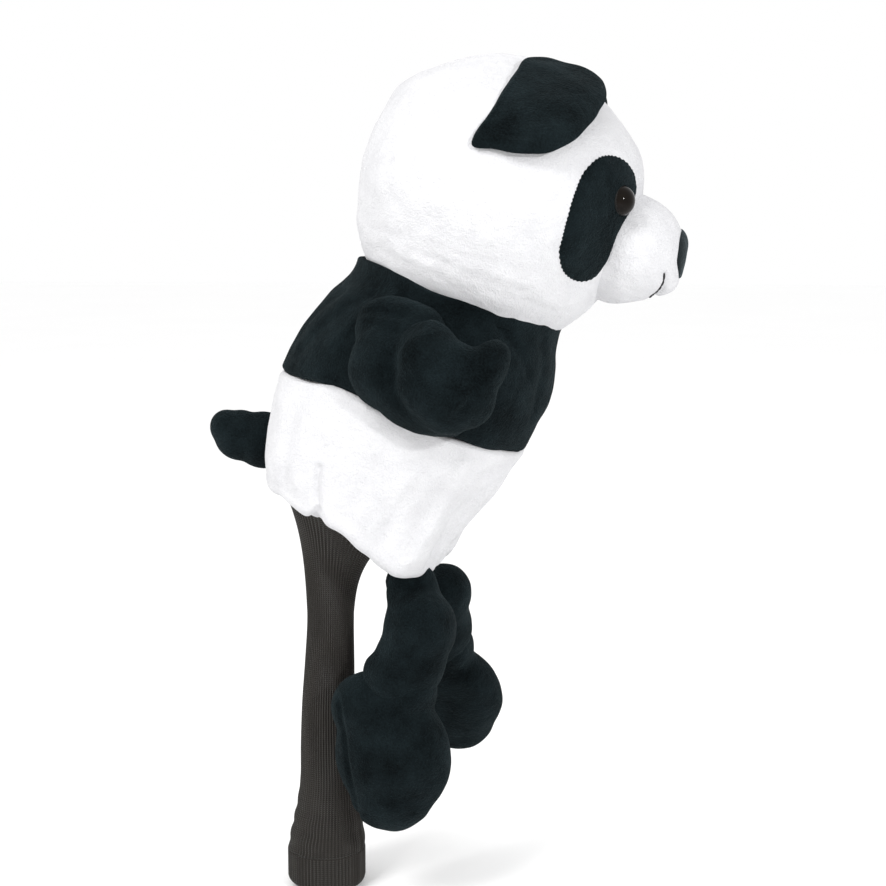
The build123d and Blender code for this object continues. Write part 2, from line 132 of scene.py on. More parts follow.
def through(stations, at):
    """Read a smooth curve through rows of (place, value, ...) at one place."""
    places, rows = stations[:, 0], stations[:, 1:]
    slopes = np.gradient(rows, places, axis=0)
    i = int(np.clip(np.searchsorted(places, at) - 1, 0, len(places) - 2))
    span = places[i + 1] - places[i]
    t = np.clip((at - places[i]) / span, 0, 1)
    rise = t * t * (3 - 2 * t)
    ends = rows[i] * (1 - rise) + rows[i + 1] * rise
    return ends + span * (slopes[i] * t * (1 - t) ** 2 - slopes[i + 1] * t * t * (1 - t))


print("sculpting helpers ready")

# %% [markdown]
# ## Drafts
# Three kinds of draft cover the whole toy. A ball is for the head. A tube of square faces is
# for anything drawn round an opening, such as the body and the sock. The limbs are awkward,
# bent shapes, so they are put together from a few egg-shaped lumps of stuffing, and a voxel
# remesh grows one skin round them, as a sewn cover pulls them into one form. A few rounds of
# smoothing then let the skin bridge the hollows between the lumps.


# %% Ball, tube and stuffed drafts
def ball(centre, radius, detail):
    draft = bmesh.new()
    place = Matrix.Translation(centre)
    bmesh.ops.create_icosphere(draft, subdivisions=detail, radius=radius, matrix=place)
    draft.normal_update()
    return draft


def tube(around, along, place):
    """A tube whose points are given by place(turn, share), share running 0 to 1 along it."""
    draft = bmesh.new()
    bmesh.ops.create_cone(
        draft, cap_ends=False, segments=around, radius1=1, radius2=1, depth=2
    )
    upright = [e for e in draft.edges if abs(e.verts[0].co.z - e.verts[1].co.z) > 1]
    bmesh.ops.subdivide_edges(draft, edges=upright, cuts=along - 1)
    for vertex in draft.verts:
        turn = atan2(vertex.co.y, vertex.co.x)
        vertex.co = place(turn, (1 - vertex.co.z) / 2)
    bmesh.ops.recalc_face_normals(draft, faces=draft.faces)
    draft.normal_update()
    return draft


def grown(draft, **modifiers):
    """Run modifiers on a draft and give back the draft they leave."""
    mesh = bpy.data.meshes.new("draft")
    draft.to_mesh(mesh)
    draft.free()
    holder = bpy.data.objects.new("draft", mesh)
    bpy.context.scene.collection.objects.link(holder)
    for kind, settings in modifiers.items():
        modifier = holder.modifiers.new(kind, kind)
        for name, value in settings.items():
            setattr(modifier, name, value)
    result = bmesh.new()
    shape = holder.evaluated_get(bpy.context.evaluated_depsgraph_get())
    result.from_mesh(shape.to_mesh())
    bpy.data.objects.remove(holder)
    result.normal_update()
    return result


def stuffed(lumps, skin=1.5, ease=8):
    """One skin round lumps of (centre, half sizes, lean about the side axis in degrees)."""
    draft = bmesh.new()
    for centre, half, lean in lumps:
        place = Matrix.Translation(centre) @ Matrix.Rotation(radians(lean), 4, "Y")
        place = place @ Matrix.Diagonal((*half, 1))
        bmesh.ops.create_icosphere(draft, subdivisions=4, radius=1, matrix=place)
    return grown(
        draft,
        REMESH={"mode": "VOXEL", "voxel_size": skin},
        SMOOTH={"factor": 0.5, "iterations": ease},
    )


print("drafting helpers ready")

# %% [markdown]
# ## Finishing a draft
# When a draft is right it is brought into the frame's metres, smooth-shaded and given its
# finish. A piece on one body is hung from that body, a piece given two bodies is fixed where
# it is, and the plain solids it replaces are hidden. Parts in pairs are drawn once for the
# animal's right, and the left is a mirror image. A mirror turns a skin inside out, so its
# faces are flipped back.

# %% Make pieces
finishes = {}


def piece(draft, name, axes=LEANING, finish="black_plush", body="cover", solids=()):
    bmesh.ops.transform(draft, matrix=axes, verts=draft.verts)
    if axes.is_negative:
        bmesh.ops.reverse_faces(draft, faces=draft.faces)
    mesh = bpy.data.meshes.new(name)
    draft.to_mesh(mesh)
    draft.free()
    mesh.shade_smooth()
    made = bpy.data.objects.new(name, mesh)
    bpy.context.scene.collection.objects.link(made)
    mesh.materials.append(finishes[finish][0])
    if isinstance(body, str):
        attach(made, body)
    else:
        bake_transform(made)
    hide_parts(*solids)
    print(f"{name}: {len(mesh.polygons)} faces")


SIDES = {"right": Matrix.Identity(4), "left": Matrix.Scale(-1, 4, SIDE)}

# %% [markdown]
# ## Shader arithmetic
# A finish here is a sum of patterns, and sums read best as sums. The class below wraps one
# output of a node, so that adding, subtracting or multiplying two of them in Python adds the
# Math node that does it. Every other node comes from its one method, which sets the node up
# first and then fills or links its sockets.


# %% The finish toolkit
class Pattern:
    """One output of a node. Arithmetic on it adds Math nodes."""

    def __init__(self, socket):
        self.socket = socket

    @classmethod
    def node(cls, tree, kind, sockets=None, output=0, stops=None, **settings):
        """Add a node: its settings, then its ramp's stops, then the values or links it takes."""
        made = tree.nodes.new(kind)
        for name, value in settings.items():
            setattr(made, name, value)
        for place, (at, grey) in enumerate(stops or ()):
            if place > 1:
                made.color_ramp.elements.new(at)
            made.color_ramp.elements[place].position = at
            made.color_ramp.elements[place].color = (grey, grey, grey, 1)
        for name, value in (sockets or {}).items():
            if isinstance(value, Pattern):
                tree.links.new(value.socket, made.inputs[name])
            else:
                made.inputs[name].default_value = value
        return cls(made.outputs[output]) if made.outputs else made

    def maths(self, operation, first, second):
        tree = self.socket.id_data
        return self.node(tree, "ShaderNodeMath", {0: first, 1: second}, operation=operation)

    def __add__(self, other):
        return self.maths("ADD", self, other)

    def __sub__(self, other):
        return self.maths("SUBTRACT", self, other)

    def __rsub__(self, other):
        return self.maths("SUBTRACT", other, self)

    def __mul__(self, other):
        return self.maths("MULTIPLY", self, other)

    __radd__, __rmul__ = __add__, __mul__


def finish(name, slot, build, **shader):
    """A material in a colour slot: build(tree) gives what varies, shader what is uniform."""
    material = bpy.data.materials.new(name)
    material.use_nodes = True
    tree = material.node_tree
    tree.nodes.clear()
    varied = build(tree)
    surface = Pattern.node(tree, "ShaderNodeBsdfPrincipled", {**shader, **varied})
    Pattern.node(tree, "ShaderNodeOutputMaterial", {"Surface": surface})
    finishes[name] = (material, slot)
    print("finish:", name)


def object_place(tree):
    return Pattern.node(tree, "ShaderNodeTexCoord", output="Object")


def cloud(tree, place, size, detail=2.0, rough=0.5):
    """Soft noise with lumps of about one size, in metres."""
    sockets = {"Vector": place, "Scale": 1 / size, "Detail": detail, "Roughness": rough}
    return Pattern.node(tree, "ShaderNodeTexNoise", sockets)


def between(tree, share, dark, light):
    sockets = {0: share, 6: (*dark, 1), 7: (*light, 1)}
    return Pattern.node(tree, "ShaderNodeMix", sockets, output=2, data_type="RGBA")


def bumps(tree, height, depth, strength=1.0):
    sockets = {"Height": height, "Distance": depth, "Strength": strength}
    return Pattern.node(tree, "ShaderNodeBump", sockets)


# %% [markdown]
# ## Plush
# Minky plush is a knitted ground with a dense pile about a millimetre long. Seen close, the pile
# is a fine grain. Handling brushes it this way and that, and each brushed patch catches the
# light differently, which is what makes black plush look like plush and not like felt. So its
# colour follows slow, soft-edged patches, and its bump adds the pile's grain on top. The
# light rim where pile is seen side-on is the shader's own sheen, which is the same all over.

# %% White and black plush
PILE = 0.0009


def pile(sheen, rough, gloss, tint=(1, 1, 1)):
    """The uniform sockets of a fibrous finish."""
    return {
        "Sheen Weight": sheen,
        "Sheen Roughness": rough,
        "Sheen Tint": (*tint, 1),
        "Specular IOR Level": gloss,
    }


def plush(dark, light, patch, edge, depth):
    """Brushed pile in two tones, with patches of one size."""

    def build(tree):
        place = object_place(tree)
        grain = cloud(tree, place, PILE, detail=3.0, rough=0.7)
        tufts = cloud(tree, place, 4 * PILE, detail=2.0)
        brushed = cloud(tree, place, patch, detail=3.0, rough=0.6)
        stops = ((0.5 - edge, 0.0), (0.5 + edge, 1.0))
        patches = Pattern.node(tree, "ShaderNodeValToRGB", {"Fac": brushed}, stops=stops)
        tone = patches * 0.5 + grain * 1.3 - 0.4
        height = grain * 0.7 + tufts * 0.6 + brushed * 1.5
        return {
            "Base Color": between(tree, tone, dark, light),
            "Roughness": 1.0 - patches * 0.12,
            "Normal": bumps(tree, height, depth),
        }

    return build


finish(
    "white_plush",
    "white_plush",
    plush((0.60, 0.60, 0.62), (0.72, 0.72, 0.735), 0.016, 0.2, 0.0011),
    **pile(0.2, 0.5, 0.15),
)
finish(
    "black_plush",
    "black_plush",
    plush((0.0004, 0.0008, 0.0010), (0.0096, 0.0160, 0.0184), 0.024, 0.16, 0.0018),
    **pile(0.13, 0.3, 0.05, (0.22, 0.31, 0.34)),
)
finish(
    "nose_plush",
    "nose_plush",
    plush((0.004, 0.006, 0.007), (0.014, 0.020, 0.022), 0.006, 0.2, 0.0004),
    **pile(0.25, 0.35, 0.2, (0.3, 0.4, 0.45)),
)

# %% [markdown]
# ## Knitting
# The sock is a rib knit: fine columns of V-shaped stitches run its whole length. The columns
# are modelled, because they show in the outline, and each column's stitches are a bump. A
# pattern on object coordinates could not follow the columns as they fan out, so it reads the
# sock's own UV map, which counts one unit per column and one per row of stitches.


# %% Rib knit
def rib_knit(tree):
    where = Pattern.node(tree, "ShaderNodeUVMap", uv_map="knit")
    across = Pattern.node(tree, "ShaderNodeSeparateXYZ", {"Vector": where}, output="X")
    along = Pattern.node(tree, "ShaderNodeSeparateXYZ", {"Vector": where}, output="Y")
    in_rib = Pattern.node(tree, "ShaderNodeMath", {0: across}, operation="FRACT")
    centred = Pattern.node(tree, "ShaderNodeMath", {0: in_rib - 0.5}, operation="ABSOLUTE")
    slanted = (along + centred * 1.4) * (2 * pi)
    stitch = Pattern.node(tree, "ShaderNodeMath", {0: slanted}, operation="SINE")
    yarn = stitch * 0.5 + 0.5
    crown = 1.0 - centred * 2.0
    fuzz = cloud(tree, object_place(tree), 0.0007, detail=3.0, rough=0.7)
    wear = cloud(tree, object_place(tree), 0.03, detail=2.0)
    tone = yarn * crown * 0.55 + fuzz * 0.35 + wear * 0.25
    return {
        "Base Color": between(tree, tone, (0.0055, 0.0050, 0.0044), (0.050, 0.045, 0.039)),
        "Roughness": 0.95 - fuzz * 0.15,
        "Normal": bumps(tree, yarn * crown + fuzz * 0.5, 0.0005),
    }


finish("sock_knit", "sock_knit", rib_knit, **pile(0.12, 0.5, 0.15))

# %% [markdown]
# ## The small finishes
# The eyes are moulded plastic, so they get a hard clear gloss over near-black, with a faint
# brown depth and the hairline swirls of handling. Their stems and washers are bare plastic with
# a moulding grain. The lining is a plain weave, the stuffing a loose fibre wadding, and the
# mouth is sewn in a twisted thread, whose twist is fine diagonal lines in its bump.


# %% Eye, plastic, lining, wadding and thread
EYE_RIM = 0.0052  # how far from the lens's middle the painted crescent of rim light starts


def local_middle(node):
    corners = [Vector(corner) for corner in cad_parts[node].bound_box]
    return sum(corners, Vector()) / len(corners)


def glossy_eye(side):
    """Near-black with a brown depth, and a painted crescent of light inside the lower front of the
    rim.
    """

    def build(tree):
        place = object_place(tree)
        depth = cloud(tree, place, 0.006, detail=1.0)
        swirl = cloud(tree, place, 0.0012, detail=4.0, rough=0.8)
        lower_front = SIDES[side] @ Vector((0.46, 0.57, -0.68))
        sockets = {0: place, 1: lower_front}
        reach = Pattern.node(
            tree, "ShaderNodeVectorMath", sockets, output=1, operation="DOT_PRODUCT"
        )
        start = local_middle(f"{side}_eye_lens").dot(lower_front) + EYE_RIM
        # Painted light: a pale crescent mixed into the base colour at the lens's lower front rim,
        # where light would shine through the clear cap.
        painted_rim_light = Pattern.node(tree, "ShaderNodeClamp", {"Value": (reach - start) * 1500})
        deep = between(tree, depth, (0.0008, 0.0006, 0.0004), (0.008, 0.005, 0.003))
        sockets = {0: painted_rim_light, 6: deep, 7: (0.15, 0.14, 0.115, 1)}
        return {
            "Base Color": Pattern.node(tree, "ShaderNodeMix", sockets, output=2, data_type="RGBA"),
            "Roughness": 0.04 + swirl * 0.05,
        }

    return build


def moulded(dark, light):
    def build(tree):
        grain = cloud(tree, object_place(tree), 0.0006, detail=3.0)
        return {
            "Base Color": between(tree, grain, dark, light),
            "Roughness": 0.35 + grain * 0.2,
            "Normal": bumps(tree, grain, 0.00005),
        }

    return build


def threads(tree, scale, way, wander=0.0):
    """Parallel threads, laid across one way."""
    sockets = {"Vector": object_place(tree), "Scale": scale, "Distortion": wander}
    return Pattern.node(tree, "ShaderNodeTexWave", sockets, output="Fac", bands_direction=way)


def plain_weave(tree):
    """Threads over and under each other, three to the millimetre."""
    weave = threads(tree, 900.0, "X", 0.4) * threads(tree, 900.0, "Z", 0.4)
    return {
        "Base Color": between(tree, weave, (0.52, 0.52, 0.53), (0.80, 0.80, 0.81)),
        "Roughness": 0.9 - weave * 0.1,
        "Normal": bumps(tree, weave, 0.0002),
    }


FIBRE_DARK, FIBRE_LIGHT = (0.62, 0.62, 0.60), (0.95, 0.95, 0.94)


def wadding(tree):
    place = object_place(tree)
    fibre = cloud(tree, place, 0.0015, detail=6.0, rough=0.8)
    clump = cloud(tree, place, 0.012, detail=2.0)
    return {
        "Base Color": between(tree, fibre * 0.7 + clump * 0.3, FIBRE_DARK, FIBRE_LIGHT),
        "Roughness": 0.85 + fibre * 0.15,
        "Normal": bumps(tree, fibre + clump, 0.001),
    }


def twisted_thread(tree):
    twist = threads(tree, 700.0, "DIAGONAL")
    return {
        "Base Color": between(tree, twist, (0.004, 0.004, 0.005), (0.02, 0.02, 0.022)),
        "Roughness": 0.7 - twist * 0.15,
        "Normal": bumps(tree, twist, 0.0002),
    }


for side in SIDES:
    gloss = {"IOR": 1.49, "Specular IOR Level": 0.12}
    finish(f"{side}_eye_lens", "eye_lens", glossy_eye(side), **gloss)
finish("eye_base", "eye_base", moulded((0.005, 0.005, 0.005), (0.016, 0.015, 0.014)))
finish("washer", "washer", moulded((0.55, 0.55, 0.53), (0.78, 0.78, 0.75)))
finish("lining", "lining", plain_weave, **{"Specular IOR Level": 0.2})
finish("filling", "filling", wadding, **{"Specular IOR Level": 0.1})
finish("thread", "thread", twisted_thread)

# %% [markdown]
# ## The parts that stay
# Some solids of the frame are already the right shape: the plastic eyes, their stems and
# washers, the divider that closes the neck and the wadding in the head. They stay where they are
# and only get their finish.

# %% Finish the solids that stay
kept = {
    "right_eye_lens": "right_eye_lens",
    "left_eye_lens": "left_eye_lens",
    "right_eye_base": "eye_base",
    "left_eye_base": "eye_base",
    "right_eye_washer": "washer",
    "left_eye_washer": "washer",
    "neck_divider": "lining",
    "head_stuffing": "filling",
}
for node, name in kept.items():
    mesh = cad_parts[node].data
    mesh.materials.clear()
    mesh.materials.append(finishes[name][0])
    if name.endswith("eye_lens"):
        mesh.shade_smooth()
    else:
        mesh.shade_flat()
print("kept solids:", ", ".join(kept))

# %% [markdown]
# ## Head
# The head is three panels of white plush, two sides and a gusset over the top, stuffed nearly
# into a ball. Tight stuffing lifts the crown a little and draws the cheeks in above the neck. A
# ball with an even skin takes that swelling well. The gusset's two seams are pressed in as
# grooves, because a seam pulls the pile down into a line, and a few shallow creases run
# round the neck, where the head is sewn to the narrower body.

# %% Head
HEAD = Vector((-32, 0, 395.7))
HEAD_R = 76.5
NECK_UP = 342
GUSSET_HALF = 17
SKIN_ROOM = 1.9  # how far the skin may sink before it would meet the stuffing

head = ball(HEAD, HEAD_R, 7)
skin = points_of(head)
rise = skin[:, 2] - HEAD.z
swell = 3.4 * bell(rise - 42, 16) - 1.8 * bell(rise + 22, 14)
skin += (skin - np.array(HEAD)) * (swell / HEAD_R)[:, None]
skin[:, 2] = np.maximum(skin[:, 2], NECK_UP - 4)
move_to(head, skin)
rumple(head, 30, 1.2, 3)
rumple(head, 11, 0.6, 4)
rumple(head, 4.5, 0.22, 5)


def round_head(turn, up, grow=0.0):
    """A point on the head's skin, turned from the face towards the animal's right."""
    radius = sqrt(max((HEAD_R + grow) ** 2 - (up - HEAD.z) ** 2, 0))
    return (HEAD.x + radius * cos(radians(turn)), -radius * sin(radians(turn)), up)


def over_head(side, start, end):
    """A path over the head in a plane beside the middle, by angle from the face over the top."""
    radius = sqrt(HEAD_R**2 - side**2)
    turns = [radians(start + (end - start) * i / 40) for i in range(41)]
    return [(HEAD.x + radius * cos(t), side, HEAD.z + radius * sin(t)) for t in turns]


for side in (-GUSSET_HALF, GUSSET_HALF):
    press(head, over_head(side, 24, 226), 1.1, 1.3)
for sign in (-1, 1):
    for start, end, up, fall, depth in (
        (62, 118, 357, 3, 0.55),
        (75, 150, 366, -4, 0.45),
        (40, 80, 352, 2, 0.5),
        (100, 138, 352, 2, 0.4),
        (66, 96, 374, -5, 0.3),
    ):
        turns = np.linspace(start, end, 12)
        ups = up + fall * np.linspace(0, 1, 12) ** 2
        press(head, [round_head(sign * t, u) for t, u in zip(turns, ups)], depth, 2.6)
skin = points_of(head) - np.array(HEAD)
reach = np.linalg.norm(skin, axis=1)
above_neck = skin[:, 2] > NECK_UP - HEAD.z
skin *= np.where(above_neck, np.maximum(reach, HEAD_R - SKIN_ROOM) / reach, 1.0)[:, None]
move_to(head, skin + np.array(HEAD))
head_skin = BVHTree.FromBMesh(head)
piece(
    head,
    "head",
    finish="white_plush",
    solids=("head_gusset", "right_head_panel", "left_head_panel"),
)

# %% [markdown]
# ## Snout
# The snout is a separate domed panel, stuffed and sewn to the front of the head: an egg lying
# on its side, fuller underneath, with the smile pulled in by its stitches. It is a ball
# stretched to three half sizes, and its underside is then let down at the root.

# %% Snout
SNOUT = Vector((38.0, 0, 394.7))
SNOUT_HALF = Vector((33.6, 38, 28.6))
CHIN_OUT, CHIN_BELOW = 5.0, 14  # how far the chin stands out, and how far down
SMILE_R, SMILE_UP, SMILE_HALF = 27.0, 400.0, 63

snout = ball((0, 0, 0), 1, 6)
skin = points_of(snout)
low = np.clip(-skin[:, 2], 0, 1)
skin = np.sign(skin) * np.abs(skin) ** 0.93
front = ramp(skin[:, 0], 0.5, 1.0)
skin *= np.array(SNOUT_HALF)
skin[:, 2] *= 1 + 0.13 * low
skin[:, 0] += CHIN_OUT * front * bell(skin[:, 2] + CHIN_BELOW, 9) - 2.5 * low * (1 - front)
move_to(snout, skin + np.array(SNOUT))
rumple(snout, 20, 1.2, 7)
rumple(snout, 7, 0.4, 8)


def drop_on(skin, start, way):
    """The point and outward direction where a straight line meets a skin."""
    hit, outward, _, _ = skin.ray_cast(Vector(start), Vector(way))
    return hit, outward


def smile_point(skin, angle):
    side, up = SMILE_R * sin(radians(angle)), SMILE_UP - SMILE_R * cos(radians(angle))
    return drop_on(skin, (120, side, up), -FORE)[0]


snout_skin = BVHTree.FromBMesh(snout)
smile = [smile_point(snout_skin, a) for a in range(-SMILE_HALF, SMILE_HALF + 1, 6)]
press(snout, smile, 1.9, 2.2)
snout_skin = BVHTree.FromBMesh(snout)
piece(
    snout,
    "snout",
    finish="white_plush",
    solids=("snout_cover", "snout_stuffing"),
)

# %% [markdown]
# ## Mouth
# The smile is a line of backstitch in black thread: short stitches end to end, each one bowed a
# little and sunk at its ends. Every stitch is a small stretched ball laid along the
# groove, which keeps its rounded ends and costs only a few faces.

# %% Mouth stitches
STITCH, THREAD_R = 9, 0.85

mouth = bmesh.new()
for start in range(-SMILE_HALF, SMILE_HALF - STITCH + 1, STITCH):
    a = smile_point(snout_skin, start)
    b = smile_point(snout_skin, start + STITCH)
    lie = (b - a).to_track_quat("X", "Z").to_matrix().to_4x4()
    half = (0.56 * (b - a).length, THREAD_R, THREAD_R)
    place = Matrix.Translation((a + b) / 2 + FORE * 0.2) @ lie @ Matrix.Diagonal((*half, 1))
    bmesh.ops.create_uvsphere(mouth, u_segments=16, v_segments=10, radius=1, matrix=place)
piece(mouth, "mouth_thread", finish="thread", solids=("mouth_stitching",))

# %% [markdown]
# ## Patches sewn on a skin
# The nose and the eye patches are cuttings laid on a curved skin, with a little wadding under
# them. A flattened ball is drawn out to the cutting's outline, and every point is dropped onto
# the skin below. Zigzag stitching bites small notches all round an eye patch.


# %% Lay a patch on a skin
def laid_patch(skin, origin, across, upward, outline, thick, rings=40, around=288, notch=0.0):
    """outline(turn) is a point of the edge; notch is the depth of the zigzag."""
    draft = bmesh.new()
    bmesh.ops.create_uvsphere(draft, u_segments=around, v_segments=rings, radius=1)
    outward = across.cross(upward)
    for vertex in draft.verts:
        reach, turn = hypot(vertex.co.x, vertex.co.y), atan2(vertex.co.y, vertex.co.x)
        x, y = outline(turn)
        bite = notch * (0.5 + 0.5 * cos(turn * around / 4 + 2 * sin(7 * turn))) / hypot(x, y)
        stretch = reach * (1 - bite * reach**8)
        above = origin + across * (x * stretch) + upward * (y * stretch) + outward * 60
        ground, lift = drop_on(skin, above, -outward)
        crown = thick * sqrt(max(1 - reach**5, 0)) if vertex.co.z > 0 else -0.6
        vertex.co = ground + lift * crown
    draft.normal_update()
    return draft


def closed_curve(corners):
    """A smooth closed outline through a few points, read by angle round its middle."""
    corners = np.array(corners, float)
    turns = np.arctan2(corners[:, 1], corners[:, 0])
    order = np.argsort(turns)
    rows = np.column_stack((turns, corners))[order]
    before, after = rows - (2 * pi, 0, 0), rows + (2 * pi, 0, 0)
    ring = np.vstack((before, rows, after))
    return lambda turn: through(ring, turn)


print("patch helper ready")

# %% Nose
NOSE_HALF = (18.5, 12.5)
NOSE_UP = 399.5


def nose_outline(turn):
    """An oval, wider above than below."""
    return NOSE_HALF[0] * cos(turn) * (1 + 0.14 * sin(turn)), NOSE_HALF[1] * sin(turn)


nose = laid_patch(
    snout_skin, Vector((60, 0, NOSE_UP)), SIDE, UP, nose_outline, 2.1, around=160
)
piece(nose, "nose_pad", finish="nose_plush", solids=("nose",))

# %% [markdown]
# ## Eye patches
# Each patch is bean-shaped: wide above, round the eye, and drawn in beside the snout. It is
# drawn in a flat plane that touches the head, with the eye a little above its middle.

# %% Eye patches
PATCH_TURN, PATCH_RISE = 40, 8
BEAN = (
    (0.4, 33.3), (13.3, 31.2), (22.6, 25.4), (24.6, 17), (20.8, 9.0), (15.5, 0), (13.2, -9),
    (14.4, -20), (12.6, -27.5), (6, -31.6), (-3, -32.4), (-12.6, -28.8), (-18.8, -22.2),
    (-22.9, -12), (-24.2, -2), (-23.3, 10.7), (-19.4, 21.8), (-11, 30.2),
)  # fmt: skip


def head_axes(turn, rise):
    """A point on the ball with its outward, towards-the-face and upward directions."""
    radius = sqrt(HEAD_R**2 - rise**2)
    spoke = Vector((radius * cos(radians(turn)), -radius * sin(radians(turn)), rise))
    across = Vector((sin(radians(turn)), cos(radians(turn)), 0))
    return HEAD + spoke, across, spoke.normalized().cross(across)


bean = closed_curve(BEAN)
origin, across, upward = head_axes(PATCH_TURN, PATCH_RISE)
for side, mirror in SIDES.items():
    patch = laid_patch(head_skin, origin, across, upward, bean, 1.9, notch=0.55)
    piece(patch, f"{side}_patch", LEANING @ mirror, solids=(f"{side}_eye_patch",))

# %% [markdown]
# ## Ears
# An ear is two half-round cuttings sewn back to back, turned and lightly filled. Its
# straight root is sewn across the head from the crown down to the side, and the ear flops
# forward from there. So it is a thick flap that follows the head at its root, stands
# further off towards its free edge, and rolls over in a soft rim all round.

# %% Ears
EAR_TURN, EAR_RISE, EAR_SLANT = 97, 52, radians(-8)
EAR_THICK = 5.4
EAR_EDGE = (
    (-19, -35), (-19.5, -20), (-21, 0), (-23, 18), (-25, 34), (-19, 43), (-6, 47),
    (9, 46), (20, 35), (25.5, 14), (25.5, -3), (22.5, -14), (15.5, -23.5), (5, -29), (-8, -32.8),
)  # fmt: skip
EAR_MIDDLE = 18

ear_edge = closed_curve(EAR_EDGE)
root, across, upward = head_axes(EAR_TURN, EAR_RISE)
outward = across.cross(upward)
across, upward = (
    across * cos(EAR_SLANT) + upward * sin(EAR_SLANT),
    upward * cos(EAR_SLANT) - across * sin(EAR_SLANT),
)
for side, mirror in SIDES.items():
    ear = bmesh.new()
    bmesh.ops.create_uvsphere(ear, u_segments=200, v_segments=64, radius=1)
    for vertex in ear.verts:
        reach, turn = hypot(vertex.co.x, vertex.co.y), atan2(vertex.co.y, vertex.co.x)
        x, y = ear_edge(turn)
        x, y = EAR_MIDDLE + x * reach, y * reach
        stand = float(ramp(x, 0, 44)) * (9.5 - 4.5 * float(ramp(-y, 0, 34))) + 0.8
        rim = 1.0 * float(bell(reach - 0.9, 0.06))
        half = EAR_THICK / 2 * sqrt(max(1 - reach**6, 0)) + rim * sqrt(max(1 - reach**6, 0))
        level = stand + EAR_THICK / 2 + (half if vertex.co.z > 0 else -half)
        flat = root + across * x + upward * y - HEAD
        sunk = flat.dot(outward)
        height = sqrt(max((HEAD_R + level) ** 2 - flat.length_squared + sunk**2, 0))
        vertex.co = HEAD + flat + outward * (height - sunk)
    ear.normal_update()
    rumple(ear, 14, 0.9, 11)
    piece(
        ear,
        f"{side}_ear_flap",
        LEANING @ mirror,
        body=f"{side}_ear",
        solids=(f"{side}_ear",),
    )

# %% [markdown]
# ## The body's shape
# Chest and belly are one bag in two colours. Its cross-sections are rounded boxes more than
# ovals, so each level has a back, a front, a half width and a squareness. Between those
# levels the shape is a smooth curve. The same curve, read at two ranges of height, makes the
# black chest band and the white belly, so that they meet at the seam.

# %% Sections of the body
BODY = np.array(
    (
        (188.0, -92.0, -2.0, 48.0, 2.5),
        (205.0, -99.5, 3.5, 53.5, 2.5),
        (216.0, -105.5, 5.0, 56.0, 2.5),
        (231.0, -111.5, 9.0, 58.5, 2.4),
        (247.0, -114.0, 16.5, 60.5, 2.3),
        (272.0, -116.0, 24.0, 63.0, 2.2),
        (300.0, -111.8, 28.5, 63.0, 2.15),
        (321.0, -104.0, 26.0, 60.5, 2.1),
        (342.0, -94.0, 22.8, 57.0, 2.0),
        (352.0, -96.0, 26.0, 63.3, 2.0),
    )
)
MOUTH = Vector((-61, 0, 0))
MOUTH_HALF = (24.5, 20.5)
HEM_MIDDLE, HEM_UP, HEM_TILT = -46, 194.5, radians(9.7)


def body_point(turn, up, inset=0.0):
    """A point of the bag, turned from the front towards the animal's left."""
    back, front, width, square = through(BODY, up)
    middle, depth = (back + front) / 2, (front - back) / 2 - inset
    c, s = cos(turn), sin(turn)
    reach = (abs(c) ** square + abs(s) ** square) ** (-1 / square)
    return Vector((middle + depth * c * reach, (width - inset) * s * reach, up))


def about(turn, middle, width):
    """A bump in the turn round the body, in degrees to the animal's right."""
    away = (degrees(-turn) - middle + 180) % 360 - 180
    return float(bell(away, width))


def seam_up(turn):
    """The seam between chest and belly rides up on the sides."""
    return 273.5 + 7 * about(turn, 112, 38) + 6 * about(turn, -112, 38) + 0.5 * sin(5 * turn)


def neck_up(turn):
    """The chest band's upper edge, wavy where it is sewn round the head."""
    return 344.5 + 2.5 * about(turn, 140, 30) - 2.2 * about(turn, 97, 16) + 0.6 * sin(3 * turn)


print("body, widest:", round(body_point(pi / 2, 285).y * 2), "mm")

# %% [markdown]
# ## Chest band
# The black band runs from the neck seam down to the seam with the belly. Its upper edge is
# turned in against the head, and both edges tuck under, which makes the two soft shoulders of a
# sewn seam. A few slack folds run from the shoulders, and at the front its top corner
# stands out beyond the chin.

# %% Chest band
TUCK, TUCK_WIDTH = 2.0, 1.4


def chest_place(turn, share):
    top, low = neck_up(turn), seam_up(turn)
    lip, edge = 1.6, 0.12
    if share < edge:
        arc = pi * max(0.0, 1.5 * share / edge - 0.5)
        drop = 7 * max(0.0, 1 - 3 * share / edge)
        return body_point(turn, top - lip - drop, lip + lip * cos(arc)) + UP * (lip * sin(arc))
    t = (share - edge) / (1 - edge)
    up = top - lip + (low - top + lip) * t
    return body_point(turn, up, TUCK * float(bell(up - low, TUCK_WIDTH)))


def fold(draft, turns_ups, depth, width):
    """A fold down both sides of the bag, at turns from the front and levels."""
    for sign in (-1, 1):
        path = [body_point(radians(-sign * turn), up) for turn, up in turns_ups]
        press(draft, path, depth, width)


chest = tube(288, 96, chest_place)
rumple(chest, 30, 2.4, 21, below=NECK_UP)
rumple(chest, 11, 0.6, 22, below=NECK_UP)
CHEST_FOLDS = (
    (((128, 330), (138, 312), (146, 292)), 1.6, 4),
    (((116, 334), (124, 318), (130, 300)), -1.4, 4),
    (((150, 326), (158, 306), (160, 288)), 1.2, 5),
    (((30, 334), (24, 318), (26, 296)), 1.2, 4),
    (((60, 336), (44, 326), (36, 316)), 1.4, 3),
)
for fall, depth, width in CHEST_FOLDS:
    fold(chest, fall, depth, width)
piece(chest, "chest", finish="black_plush", solids=("chest_band",))

# %% [markdown]
# ## Belly
# The white belly hangs as a slack bag. Its bottom edge is a soft roll: the plush turns under and
# runs in to the pouch's mouth, where the sock is sewn on. The edge isn't level. It is
# notched at the sides where a seam ends, hangs in a lobe over each hip, and is gathered up
# between the legs. Folds fall from the seams to those notches. One path, read from seam
# to edge, round the roll and in to the mouth, gives the whole skin.

